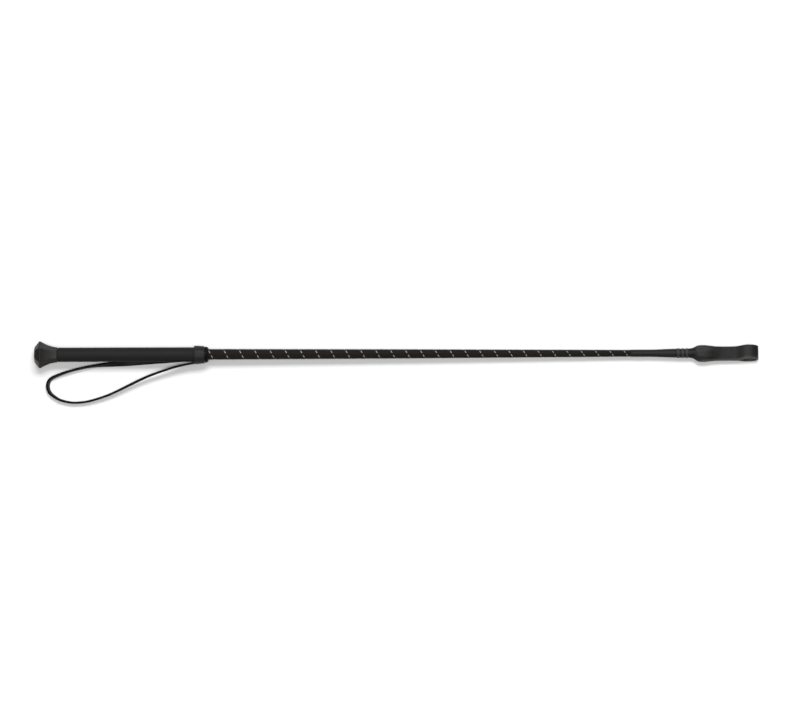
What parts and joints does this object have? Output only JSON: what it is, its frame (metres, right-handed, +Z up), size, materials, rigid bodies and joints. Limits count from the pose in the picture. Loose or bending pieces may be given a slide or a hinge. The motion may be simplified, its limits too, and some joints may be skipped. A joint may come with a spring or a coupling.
{
  "type": "riding crop",
  "caption": "Riding crop with a hexagonal end cap, round grip, leather wrist loop under a collar, tapered braided shaft, bound tip and a folded leather flap.",
  "frame": {"origin": "middle of the crop's footprint on the surface it lies on, the wrist loop left out", "axes": "+X from the end cap to the flap, +Z up from the surface, the wrist loop lies on the -Y side"},
  "size_m": [0.6598, 0.0572, 0.0214],
  "materials": {
    "cap_plastic": "satin moulded",
    "grip_rubber": "smooth satin",
    "former_board": "wound board",
    "collar_rubber": "satin",
    "binding_thread": "waxed thread",
    "strap_leather": "fine grain, cut edges",
    "rod_fibreglass": "pultruded rod",
    "filler_yarn": "straight yarn",
    "braid_thread": "tight thread braid",
    "bright_yarn": "metallised yarn",
    "tip_plastic": "smooth shrunk sleeve",
    "whipping_thread": "waxed thread",
    "flap_leather": "smooth grain, cut edges"
  },
  "bodies": {
    "handle_and_shaft": {"end_cap": "cap_plastic", "grip_sleeve": "grip_rubber", "grip_former": "former_board", "collar": "collar_rubber", "strap_binding": "binding_thread", "strap_tail_side": "strap_leather", "strap_tail_under": "strap_leather", "shaft_core": "rod_fibreglass", "shaft_filler": "filler_yarn", "braid_cover": "braid_thread", "fleck_thread": "bright_yarn", "tip_sleeve": "tip_plastic", "whipping_rear": "whipping_thread", "whipping_middle": "whipping_thread", "whipping_front": "whipping_thread", "flap_root": "flap_leather"},
    "flap": {"flap_blade": "flap_leather"},
    "strap": {"wrist_loop": "strap_leather"}
  },
  "joints": [
    {"name": "flap_bend", "type": "hinge", "parent": "handle_and_shaft", "child": "flap", "pos_m": [0.29051, 0, 0.00425], "axis": [0, 1, 0], "range_deg": [-60, 60], "stiffness_Nm_per_rad": 0.01},
    {"name": "loop_swing", "type": "hinge", "parent": "handle_and_shaft", "child": "strap", "pos_m": [-0.18595, -0.00775, 0.00924], "axis": [0, 0, 1], "range_deg": [0, 95]}
  ]
}
